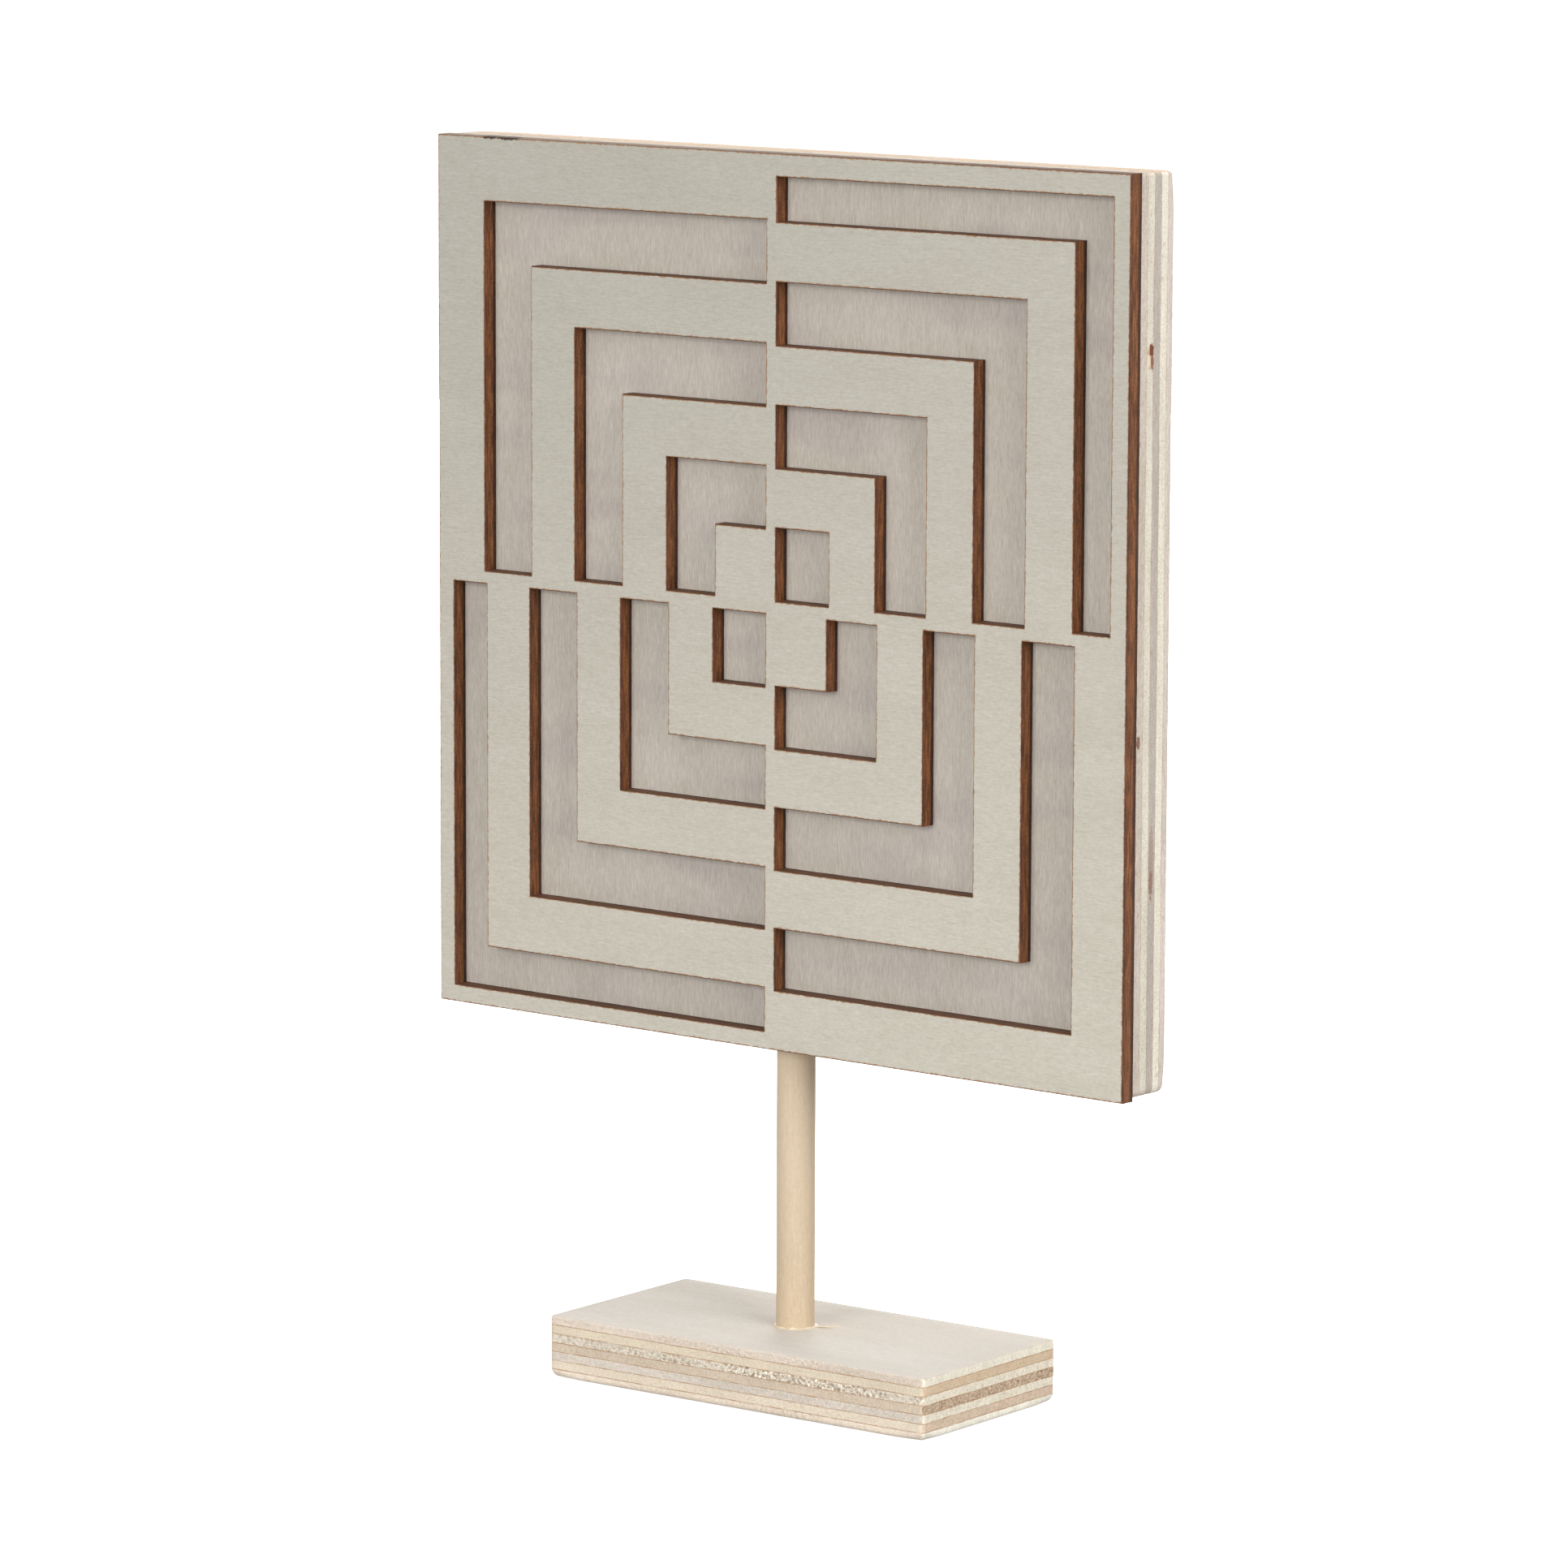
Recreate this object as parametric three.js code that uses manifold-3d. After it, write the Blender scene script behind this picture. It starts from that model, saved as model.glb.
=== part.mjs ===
// A relief panel of concentric bands on a small stand, in millimetres, +Z up.
//
// A thin fretwork plate, with bands cut right through it, is glued on a plywood backing board. One dowel,
// glued into the backing's lower edge and into a plywood base block, holds the panel upright. Plywood is a
// stack of veneers glued face to face, and each veneer is a mesh of its own.
//
// The origin is on the base's underside, under the dowel's axis. The relief faces -Y.

import * as THREE from 'three';
import { mergeVertices } from 'three/addons/utils/BufferGeometryUtils.js';
import Module from 'manifold-3d';

const wasm = await Module();
wasm.setup();

// Panel outline and the fretwork's pattern. The pattern is measured as half-widths from its centre: a core,
// then bands of one width, then the inner edge of the outer frame. A laser cuts each opening a little wider
// than drawn, and the whole pattern sits a little below the panel's centre.
const PANEL_WIDTH = 145;
const PANEL_HEIGHT = 147;
const CORE_HALF_WIDTH = 12;
const BAND_WIDTH = 10;
const BAND_COUNT = 5;
const FRAME_INNER_HALF_WIDTH = 69;
const CENTRE_BAR_WIDTH = 2.5;
const CUT_WIDENING = 0.15;
const CUT_OVERRUN = 1;
const PATTERN_DROP = 0.4;

// Veneer thicknesses, counted from the front on the panel and from the top on the base.
const FRETWORK_VENEERS = [0.7, 1.35, 0.7];
const BACKING_VENEER = 1.74;
const BACKING_VENEER_COUNT = 5;
const BASE_VENEER = 1.5;
const BASE_VENEER_COUNT = 7;

// The backing's lower edge sits a little above the fretwork's.
const BACKING_STEP = 0.3;
const BACKING_CORNER_RADIUS = 1;
const BACKING_EASE = 0.7;

// The base was put on by hand, so it is turned a little about the dowel and its hole is a little off centre.
const BASE_LENGTH = 77;
const BASE_DEPTH = 37;
const BASE_TURN = THREE.MathUtils.degToRad(2.5);
const BASE_SHIFT_X = 1.6;
const BASE_SHIFT_Y = -0.5;
const BASE_CORNER_RADIUS = 0.8;
const BASE_EASE = 0.6;

const DOWEL_RADIUS = 3.2;
const DOWEL_VISIBLE_LENGTH = 47.5;
const DOWEL_CHAMFER = 0.5;
const GLUE_GAP = 0.3;
const HOLE_DEPTH_IN_BACKING = 20;
const BASE_VENEERS_DRILLED = 5;

const PAST_EVERYTHING = 1000;
const ROUGHNESS = 0.75;

// Facets of the round stretches.
const CORNER_STEPS = 4;
const EASE_STEPS = 3;
const DOWEL_SIDES = 48;

const HALF_WIDTH = PANEL_WIDTH / 2;
const HALF_HEIGHT = PANEL_HEIGHT / 2;
const EXTRA_HALF_HEIGHT = HALF_HEIGHT - HALF_WIDTH;
const FRETWORK_THICKNESS = FRETWORK_VENEERS.reduce((sum, thickness) => sum + thickness, 0);
const BACKING_THICKNESS = BACKING_VENEER * BACKING_VENEER_COUNT;
const BASE_HEIGHT = BASE_VENEER * BASE_VENEER_COUNT;
const BACKING_FRONT = -BACKING_THICKNESS / 2;
const BACKING_REAR = BACKING_THICKNESS / 2;
const FRETWORK_FRONT = BACKING_FRONT - FRETWORK_THICKNESS;
const PANEL_BOTTOM = BASE_HEIGHT + DOWEL_VISIBLE_LENGTH;
const PANEL_CENTRE = PANEL_BOTTOM + HALF_HEIGHT;
const PATTERN_CENTRE = PANEL_CENTRE - PATTERN_DROP;
const BACKING_BOTTOM = PANEL_BOTTOM + BACKING_STEP;
const BASE_HOLE_BOTTOM = BASE_HEIGHT - BASE_VENEERS_DRILLED * BASE_VENEER;
const DOWEL_TOP = BACKING_BOTTOM + HOLE_DEPTH_IN_BACKING;

const COLOURS = {
  fretworkFace: 0xcdc8bc,
  fretworkCore: 0x8a5a34,
  fretworkRear: 0x6a3f26,
  backing: [0xc9c0b9, 0xe0dcd2, 0xb9b3b2, 0xe4dccb, 0xcfc5be],
  base: [0xdad0c3, 0xe8d6ae, 0xd2cbc0, 0xc9b193, 0xd5cec2, 0xe6d5b3, 0xd8cdc0],
  dowel: 0xdcc4a2,
};

// --- Solids --------------------------------------------------------------------------------------------

function toSolid(geometry) {
  const bare = geometry.clone();
  bare.deleteAttribute('normal');
  bare.deleteAttribute('uv');
  const merged = mergeVertices(bare);
  const vertProperties = new Float32Array(merged.attributes.position.array);
  const triVerts = new Uint32Array(merged.index.array);
  return new wasm.Manifold(new wasm.Mesh({ numProp: 3, vertProperties, triVerts }));
}

function toGeometry(solid) {
  const mesh = solid.getMesh();
  const geometry = new THREE.BufferGeometry();
  geometry.setAttribute('position', new THREE.BufferAttribute(new Float32Array(mesh.vertProperties), 3));
  geometry.setIndex(new THREE.BufferAttribute(new Uint32Array(mesh.triVerts), 1));
  geometry.computeVertexNormals();
  return geometry;
}

// Turns a drawing in XY, extruded along +Z, into one in XZ that starts at Y = 0 and runs towards -Y.
function standUp(geometry) {
  return geometry.rotateX(Math.PI / 2);
}

function rectangle(halfWidth, bottom, top) {
  return [
    new THREE.Vector2(-halfWidth, bottom),
    new THREE.Vector2(halfWidth, bottom),
    new THREE.Vector2(halfWidth, top),
    new THREE.Vector2(-halfWidth, top),
  ];
}

function roundedRectangle(halfWidth, bottom, top, radius) {
  const shape = new THREE.Shape();
  shape.absarc(halfWidth - radius, bottom + radius, radius, -Math.PI / 2, 0);
  shape.absarc(halfWidth - radius, top - radius, radius, 0, Math.PI / 2);
  shape.absarc(-halfWidth + radius, top - radius, radius, Math.PI / 2, Math.PI);
  shape.absarc(-halfWidth + radius, bottom + radius, radius, Math.PI, 1.5 * Math.PI);
  return shape;
}

// A board from Z = 0 to its thickness, with the edges of both its faces rounded over.
function easedBoard(outline, thickness, ease) {
  const geometry = new THREE.ExtrudeGeometry(outline, {
    depth: thickness - 2 * ease,
    bevelThickness: ease,
    bevelSize: ease,
    bevelOffset: -ease,
    bevelSegments: EASE_STEPS,
    curveSegments: CORNER_STEPS,
  });
  return geometry.translate(0, 0, ease);
}

// A block that reaches past the whole object in two directions and from low to high in the third.
function slab(axis, low, high) {
  const size = { x: PAST_EVERYTHING, y: PAST_EVERYTHING, z: PAST_EVERYTHING };
  const centre = { x: 0, y: 0, z: 0 };
  size[axis] = high - low;
  centre[axis] = (low + high) / 2;
  return toSolid(new THREE.BoxGeometry(size.x, size.y, size.z).translate(centre.x, centre.y, centre.z));
}

function dowelHole(low, high) {
  const radius = DOWEL_RADIUS + GLUE_GAP;
  const cylinder = new THREE.CylinderGeometry(radius, radius, high - low, DOWEL_SIDES);
  return toSolid(cylinder.rotateX(Math.PI / 2).translate(0, 0, (low + high) / 2));
}

function addMesh(group, name, geometry, color) {
  const material = new THREE.MeshStandardMaterial({ color, roughness: ROUGHNESS, metalness: 0 });
  const mesh = new THREE.Mesh(geometry, material);
  mesh.name = name;
  group.add(mesh);
}

// --- Fretwork plate ------------------------------------------------------------------------------------

// Half-widths of the pattern's steps, from the centre out to the frame.
function patternSteps() {
  const steps = [0];
  for (let band = 0; band <= BAND_COUNT; band += 1) {
    steps.push(CORE_HALF_WIDTH + band * BAND_WIDTH);
  }
  steps.push(FRAME_INNER_HALF_WIDTH);
  return steps;
}

// One cut-out of one quarter: the part between two steps, clear of the centre bars. The core's is a plain
// rectangle and the others are L-shaped. The pattern's steps are all taller than wide by the same amount.
function cutOut(inner, outer, signX, signZ) {
  const bar = CENTRE_BAR_WIDTH / 2 - CUT_WIDENING;
  const outerX = outer + CUT_WIDENING;
  const outerZ = outer + EXTRA_HALF_HEIGHT + CUT_WIDENING;
  const corners = [[bar, outerZ], [outerX, outerZ], [outerX, bar]];
  if (inner === 0) {
    corners.push([bar, bar]);
  } else {
    const innerX = inner - CUT_WIDENING;
    const innerZ = inner + EXTRA_HALF_HEIGHT - CUT_WIDENING;
    corners.push([innerX, bar], [innerX, innerZ], [bar, innerZ]);
  }
  return new THREE.Shape(corners.map(([x, z]) => new THREE.Vector2(signX * x, signZ * z)));
}

// The upper right and lower left quarters are cut from the core outwards, and the other two one step later.
function cutOuts() {
  const outlines = [];
  const steps = patternSteps();
  for (const signX of [-1, 1]) {
    for (const signZ of [-1, 1]) {
      const firstCut = signX === signZ ? 0 : 1;
      for (let step = firstCut; step < steps.length - 1; step += 2) {
        outlines.push(cutOut(steps[step], steps[step + 1], signX, signZ));
      }
    }
  }
  return outlines;
}

function plate(outline, centre, front, rear) {
  const geometry = new THREE.ExtrudeGeometry(outline, { depth: rear - front, bevelEnabled: false });
  return toSolid(standUp(geometry).translate(0, rear, centre));
}

function fretworkVeneer(front, rear) {
  const outline = new THREE.Shape(rectangle(HALF_WIDTH, -HALF_HEIGHT, HALF_HEIGHT));
  const whole = plate(outline, PANEL_CENTRE, front, rear);
  return cutOuts().reduce(
    (veneer, cut) => veneer.subtract(plate(cut, PATTERN_CENTRE, front - CUT_OVERRUN, rear + CUT_OVERRUN)),
    whole,
  );
}

function makeFretwork() {
  const group = new THREE.Group();
  const names = ['fretwork_front_veneer', 'fretwork_core_veneer', 'fretwork_rear_veneer'];
  const colours = [COLOURS.fretworkFace, COLOURS.fretworkCore, COLOURS.fretworkRear];
  let front = FRETWORK_FRONT;
  FRETWORK_VENEERS.forEach((thickness, index) => {
    const rear = front + thickness;
    addMesh(group, names[index], toGeometry(fretworkVeneer(front, rear)), colours[index]);
    front = rear;
  });
  return group;
}

// --- Backing board -------------------------------------------------------------------------------------

// The board is made with both faces' edges eased and loses the front ones, which the fretwork covers.
function makeBacking() {
  const group = new THREE.Group();
  const top = PANEL_BOTTOM + PANEL_HEIGHT;
  const outline = roundedRectangle(HALF_WIDTH, BACKING_BOTTOM, top, BACKING_CORNER_RADIUS);
  const board = standUp(easedBoard(outline, BACKING_THICKNESS + 2 * BACKING_EASE, BACKING_EASE));
  const solid = toSolid(board.translate(0, BACKING_REAR, 0))
    .subtract(dowelHole(BASE_HEIGHT, DOWEL_TOP + GLUE_GAP));
  for (let index = 0; index < BACKING_VENEER_COUNT; index += 1) {
    const front = BACKING_FRONT + index * BACKING_VENEER;
    const veneer = solid.intersect(slab('y', front, front + BACKING_VENEER));
    addMesh(group, `backing_veneer_${index + 1}`, toGeometry(veneer), COLOURS.backing[index]);
  }
  return group;
}

// --- Base block ----------------------------------------------------------------------------------------

function makeBase() {
  const group = new THREE.Group();
  const outline = roundedRectangle(BASE_LENGTH / 2, -BASE_DEPTH / 2, BASE_DEPTH / 2, BASE_CORNER_RADIUS);
  const block = easedBoard(outline, BASE_HEIGHT, BASE_EASE).rotateZ(BASE_TURN);
  const solid = toSolid(block.translate(BASE_SHIFT_X, BASE_SHIFT_Y, 0))
    .subtract(dowelHole(BASE_HOLE_BOTTOM, PANEL_BOTTOM));
  for (let index = 0; index < BASE_VENEER_COUNT; index += 1) {
    const top = BASE_HEIGHT - index * BASE_VENEER;
    const veneer = solid.intersect(slab('z', top - BASE_VENEER, top));
    addMesh(group, `base_veneer_${index + 1}`, toGeometry(veneer), COLOURS.base[index]);
  }
  return group;
}

// --- Dowel ---------------------------------------------------------------------------------------------

// It stands on the bottom of the base's hole and ends just short of the hole in the backing.
function makeDowel() {
  const group = new THREE.Group();
  const length = DOWEL_TOP - BASE_HOLE_BOTTOM;
  const profile = [
    new THREE.Vector2(0, 0),
    new THREE.Vector2(DOWEL_RADIUS - DOWEL_CHAMFER, 0),
    new THREE.Vector2(DOWEL_RADIUS, DOWEL_CHAMFER),
    new THREE.Vector2(DOWEL_RADIUS, length - DOWEL_CHAMFER),
    new THREE.Vector2(DOWEL_RADIUS - DOWEL_CHAMFER, length),
    new THREE.Vector2(0, length),
  ];
  const geometry = new THREE.LatheGeometry(profile, DOWEL_SIDES).rotateX(Math.PI / 2);
  addMesh(group, 'dowel', geometry.translate(0, 0, BASE_HOLE_BOTTOM), COLOURS.dowel);
  return group;
}

const group = new THREE.Group();
group.add(makeFretwork(), makeBacking(), makeDowel(), makeBase());

export default group;
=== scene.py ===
import math

import bmesh
import bpy
import numpy as np
from mathutils import Matrix, Vector, noise
from mathutils.bvhtree import BVHTree


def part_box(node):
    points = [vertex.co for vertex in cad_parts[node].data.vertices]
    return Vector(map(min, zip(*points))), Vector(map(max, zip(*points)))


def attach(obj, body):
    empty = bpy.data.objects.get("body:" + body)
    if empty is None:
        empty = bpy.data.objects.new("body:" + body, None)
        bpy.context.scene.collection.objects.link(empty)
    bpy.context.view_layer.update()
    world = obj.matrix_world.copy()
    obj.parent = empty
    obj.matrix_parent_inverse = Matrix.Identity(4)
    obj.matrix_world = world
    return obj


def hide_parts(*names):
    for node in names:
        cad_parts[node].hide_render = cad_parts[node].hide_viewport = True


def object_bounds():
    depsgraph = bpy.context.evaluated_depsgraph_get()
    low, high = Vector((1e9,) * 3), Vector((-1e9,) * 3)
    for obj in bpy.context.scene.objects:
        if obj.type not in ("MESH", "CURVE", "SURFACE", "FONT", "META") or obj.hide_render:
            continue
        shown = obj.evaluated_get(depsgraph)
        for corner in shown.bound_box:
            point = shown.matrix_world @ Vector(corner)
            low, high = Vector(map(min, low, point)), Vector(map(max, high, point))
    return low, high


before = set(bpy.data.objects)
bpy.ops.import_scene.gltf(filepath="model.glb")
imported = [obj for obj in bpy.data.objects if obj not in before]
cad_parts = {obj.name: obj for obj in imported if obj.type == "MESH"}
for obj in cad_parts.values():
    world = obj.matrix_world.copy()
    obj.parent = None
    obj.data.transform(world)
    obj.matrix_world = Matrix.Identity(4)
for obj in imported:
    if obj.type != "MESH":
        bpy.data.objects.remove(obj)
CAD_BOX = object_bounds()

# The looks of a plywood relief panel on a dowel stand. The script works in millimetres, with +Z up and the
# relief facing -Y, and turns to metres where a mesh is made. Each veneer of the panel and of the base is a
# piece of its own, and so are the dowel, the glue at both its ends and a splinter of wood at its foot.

MM = 0.001
X, Y, Z = 0, 1, 2

# --- Camera and light ------------------------------------------------------------------------------------

VIEW_AZIMUTH = 39.485
VIEW_ELEVATION = 8.557
VIEW_ROLL = 0.1975
VIEW_DISTANCE = 1245.0
VIEW_AIM = (-2.83, 0.0, 101.0)
LENS = 173.95
SENSOR = 36.0
NEAREST = 50.0
FARTHEST = 100000.0

WHITE = (1.0, 1.0, 1.0, 1.0)
WORLD_STRENGTH = 0.25
LIGHT_DISTANCE = 1600.0
LIGHT_SIZE = 1000.0
LIGHT_COLOUR = (1.0, 0.995, 0.985)

# Each softbox's azimuth from the front towards the right, its elevation and its power. The one behind the
# panel only lights what the camera can't see from the front.
SOFTBOXES = {
    "front": (0.0, 10.0, 19.0),
    "right": (80.0, 20.0, 19.2),
    "top": (0.0, 89.0, 12.3),
    "rear": (-150.0, 5.0, 20.0),
}


def camera_axes():
    """The camera's right, up and backward directions."""
    azimuth, elevation, roll = (math.radians(a) for a in (VIEW_AZIMUTH, VIEW_ELEVATION, VIEW_ROLL))
    back = Vector((
        math.sin(azimuth) * math.cos(elevation),
        -math.cos(azimuth) * math.cos(elevation),
        math.sin(elevation),
    ))
    level = Vector((math.cos(azimuth), math.sin(azimuth), 0.0))
    raised = back.cross(level)
    right = level * math.cos(roll) + raised * math.sin(roll)
    return right, back.cross(right), back


def make_camera():
    right, up, back = camera_axes()
    data = bpy.data.cameras.new("camera")
    data.lens = LENS
    data.sensor_width = SENSOR
    data.clip_start = NEAREST * MM
    data.clip_end = FARTHEST * MM
    camera = bpy.data.objects.new("camera", data)
    place = (Vector(VIEW_AIM) + back * VIEW_DISTANCE) * MM
    turn = Matrix((right, up, back)).transposed()
    camera.matrix_world = Matrix.Translation(place) @ turn.to_4x4()
    bpy.context.scene.collection.objects.link(camera)
    bpy.context.scene.camera = camera


def make_softbox(name, azimuth, elevation, power):
    """A large square light that shines at the middle of the object."""
    data = bpy.data.lights.new(name, "AREA")
    data.shape = "SQUARE"
    data.size = LIGHT_SIZE * MM
    data.energy = power
    data.color = LIGHT_COLOUR
    light = bpy.data.objects.new(name, data)
    turn, rise = math.radians(azimuth), math.radians(elevation)
    way = Vector((math.sin(turn) * math.cos(rise), -math.cos(turn) * math.cos(rise), math.sin(rise)))
    light.location = (CAD_BOX[0] + CAD_BOX[1]) / 2 + way * LIGHT_DISTANCE * MM
    light.rotation_euler = way.to_track_quat("Z", "Y").to_euler()
    bpy.context.scene.collection.objects.link(light)


def make_lights():
    world = bpy.data.worlds.new("studio")
    world.use_nodes = True
    background = world.node_tree.nodes["Background"]
    background.inputs["Color"].default_value = WHITE
    background.inputs["Strength"].default_value = WORLD_STRENGTH
    bpy.context.scene.world = world
    for name, (azimuth, elevation, power) in SOFTBOXES.items():
        make_softbox(name, azimuth, elevation, power)
    bpy.context.scene.view_settings.view_transform = "Standard"


# --- Material kit ----------------------------------------------------------------------------------------

# Darker wood is also a little warmer, so a tone works less on red than on blue.
TONE_CHANNELS = (0.92, 1.0, 1.16)
SPECULAR = 0.25

# How far one step of a noise's seed moves it along X, Y and Z.
NOISE_SHIFT = (17.31, 5.77, 11.13)

# A stain's softness inside its oval, the size and depth of its ragged rim, and where it begins and is full.
STAIN_SOFT = 0.7
STAIN_RAG_SIZE = 0.5
STAIN_RAG_DEPTH = 1.8
STAIN_RIM = (0.15, 0.55)
STAIN_FADE = (0.0, 0.2)

# The length and width of the marks in veneer.
FIBRE = (2.2, 0.20)
FLECK = (0.7, 0.35)
STREAK = (14.0, 0.9)
PATCH = (30.0, 8.0)


def colour(red, green, blue):
    """A colour given as 0 to 255 on the screen, turned to the linear one that shaders use."""
    linear = []
    for value in (red, green, blue):
        share = value / 255.0
        linear.append(share / 12.92 if share <= 0.04045 else ((share + 0.055) / 1.055) ** 2.4)
    return (*linear, 1.0)


def sized(axis, length, width):
    """Sizes along X, Y and Z of a mark that is long on one axis and narrow on the others."""
    sizes = [width, width, width]
    sizes[axis] = length
    return sizes


def even(size):
    """Sizes of a mark that is the same along X, Y and Z."""
    return (size, size, size)


class Shader:
    """A material in the making, with short ways to add and join its nodes."""

    def __init__(self, name, roughness):
        self.material = bpy.data.materials.new(name)
        self.material.use_nodes = True
        self.tree = self.material.node_tree
        self.surface = self.tree.nodes["Principled BSDF"]
        self.surface.inputs["Roughness"].default_value = roughness
        self.surface.inputs["Specular IOR Level"].default_value = SPECULAR
        self.place = self.add("ShaderNodeTexCoord").outputs["Object"]
        self.normal = self.add("ShaderNodeNewGeometry").outputs["Normal"]

    def add(self, kind, *inputs, **settings):
        """A node with these inputs in order, each a number, a tuple or another node's output."""
        node = self.tree.nodes.new(kind)
        for name, value in settings.items():
            setattr(node, name, value)
        for socket, value in zip(node.inputs, inputs):
            self.feed(socket, value)
        return node

    def feed(self, socket, value):
        if isinstance(value, bpy.types.NodeSocket):
            self.tree.links.new(value, socket)
        elif isinstance(value, tuple):
            socket.default_value = value[:len(socket.default_value)]
        elif value is not None:
            socket.default_value = value

    def math(self, operation, a, b=0.0):
        return self.add("ShaderNodeMath", a, b, operation=operation).outputs[0]

    def total(self, *values):
        result = values[0]
        for value in values[1:]:
            result = self.math("ADD", result, value)
        return result

    def product(self, *values):
        result = values[0]
        for value in values[1:]:
            result = self.math("MULTIPLY", result, value)
        return result

    def vector(self, operation, *inputs):
        return self.add("ShaderNodeVectorMath", *inputs, operation=operation).outputs[0]

    def mark(self, name):
        """A number stored on the mesh's points."""
        return self.add("ShaderNodeAttribute", attribute_name=name).outputs["Fac"]

    def noise(self, sizes, seed, detail=2.0):
        """Soft noise from about 0.3 to 0.7, with marks of these sizes along X, Y and Z."""
        scale = tuple(1.0 / (size * MM) for size in sizes)
        shift = tuple(seed * step for step in NOISE_SHIFT)
        spot = self.vector("MULTIPLY_ADD", self.place, scale, shift)
        return self.add("ShaderNodeTexNoise", spot, None, 1.0, detail).outputs[0]

    def swing(self, sizes, seed, weight, detail=2.0):
        """The same noise about zero, with a weight."""
        centred = self.math("SUBTRACT", self.noise(sizes, seed, detail), 0.5)
        return self.math("MULTIPLY", centred, weight)

    def step(self, value, low, high):
        """0 below low, 1 above high, and smooth between. With low above high it falls instead."""
        node = self.add("ShaderNodeMapRange", interpolation_type="SMOOTHSTEP")
        falls = low > high
        self.feed(node.inputs["Value"], value)
        node.inputs["From Min"].default_value = min(low, high)
        node.inputs["From Max"].default_value = max(low, high)
        node.inputs["To Min"].default_value = 1.0 if falls else 0.0
        node.inputs["To Max"].default_value = 0.0 if falls else 1.0
        return node.outputs[0]

    def blend(self, factor, a, b):
        """Colour a where the factor is 0 and colour b where it is 1."""
        node = self.add("ShaderNodeMix", data_type="RGBA")
        for index, value in ((0, factor), (6, a), (7, b)):
            self.feed(node.inputs[index], value)
        return node.outputs[2]

    def toned(self, base, tone):
        """A colour made lighter or darker by a tone about zero."""
        gain = self.vector("MULTIPLY_ADD", tone, TONE_CHANNELS, (1.0, 1.0, 1.0))
        return self.vector("MULTIPLY", base, gain)

    def facing(self, axis):
        """How squarely the surface faces along an axis, either way."""
        parts = self.add("ShaderNodeSeparateXYZ", self.normal)
        return self.math("ABSOLUTE", parts.outputs[axis])

    def along(self, axis):
        """The distance along an axis, in millimetres."""
        parts = self.add("ShaderNodeSeparateXYZ", self.place)
        return self.math("MULTIPLY", parts.outputs[axis], 1.0 / MM)

    def spot(self, centre, sizes, soft):
        """1 inside an oval of these half-sizes in millimetres, falling to 0 over its outer part."""
        scale = tuple(1.0 / (size * MM) for size in sizes)
        shift = tuple(-place / size for place, size in zip(centre, sizes))
        away = self.vector("MULTIPLY_ADD", self.place, scale, shift)
        length = self.add("ShaderNodeVectorMath", away, operation="LENGTH").outputs["Value"]
        return self.step(length, 1.0, 1.0 - soft)

    def stained(self, base, centre, sizes, tint, strength):
        """A colour with a ragged oval stain of another colour on it, of these half-sizes in millimetres."""
        inside = self.spot(centre, sizes, STAIN_SOFT)
        ragged = self.math("ADD", inside, self.swing(even(STAIN_RAG_SIZE), 310, STAIN_RAG_DEPTH))
        share = self.product(self.step(ragged, *STAIN_RIM), self.step(inside, *STAIN_FADE), strength)
        return self.blend(share, base, tint)

    def bump(self, height, depth):
        """A bump of this depth in millimetres."""
        node = self.add("ShaderNodeBump")
        node.inputs["Strength"].default_value = 1.0
        node.inputs["Distance"].default_value = depth * MM
        self.feed(node.inputs["Height"], height)
        self.tree.links.new(node.outputs[0], self.surface.inputs["Normal"])

    def finish(self, base):
        self.tree.links.new(base, self.surface.inputs["Base Color"])
        return self.material


def fine_grain(shader, axis, seed, fibre=0.30, fleck=0.28, streak=0.08, patch=0.14):
    """The tone of one veneer: short fibres, flecks, longer streaks and broad soft patches along its grain."""
    return shader.total(
        shader.swing(sized(axis, *FIBRE), seed, fibre, 3.0),
        shader.swing(sized(axis, *FLECK), seed + 3, fleck),
        shader.swing(sized(axis, *STREAK), seed + 1, streak),
        shader.swing(sized(axis, *PATCH), seed + 2, patch),
    )


# --- Mesh kit --------------------------------------------------------------------------------------------

SMOOTH_LIMIT = math.radians(40.0)

# How far one step of a drift's seed moves it along X, Y and Z.
DRIFT_SHIFT = (7.3, 3.1, 5.9)


def loft(rings, closed):
    """Points and faces of a skin over a row of rings. A closed skin joins the last ring to the first one,
    and an open one gets a face at each end."""
    count = len(rings[0])
    points = [point for ring in rings for point in ring]
    faces = []
    for first in range(len(rings) if closed else len(rings) - 1):
        second = (first + 1) % len(rings)
        for k in range(count):
            after = (k + 1) % count
            corners = (first * count + k, first * count + after, second * count + after, second * count + k)
            faces.append(corners)
    if not closed:
        faces.append(tuple(range(count)))
        faces.append(tuple(range((len(rings) - 1) * count, len(rings) * count)))
    return points, faces


def make_piece(name, points, faces, materials, marks=None, face_materials=None):
    """A closed mesh with its faces turned out. Marks are numbers stored on its points for the materials."""
    mesh = bpy.data.meshes.new(name)
    mesh.from_pydata([Vector(point) * MM for point in points], [], faces)
    for material in materials:
        mesh.materials.append(material)
    if face_materials is not None:
        mesh.polygons.foreach_set("material_index", face_materials)
    for label, values in (marks or {}).items():
        mesh.attributes.new(label, "FLOAT", "POINT").data.foreach_set("value", values)
    edit = bmesh.new()
    edit.from_mesh(mesh)
    bmesh.ops.recalc_face_normals(edit, faces=edit.faces)
    edit.to_mesh(mesh)
    edit.free()
    mesh.shade_smooth()
    mesh.set_sharp_from_angle(angle=SMOOTH_LIMIT)
    piece = bpy.data.objects.new(name, mesh)
    bpy.context.scene.collection.objects.link(piece)
    return piece


def stand_for(piece, node):
    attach(piece, "root")
    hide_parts(node)


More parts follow.
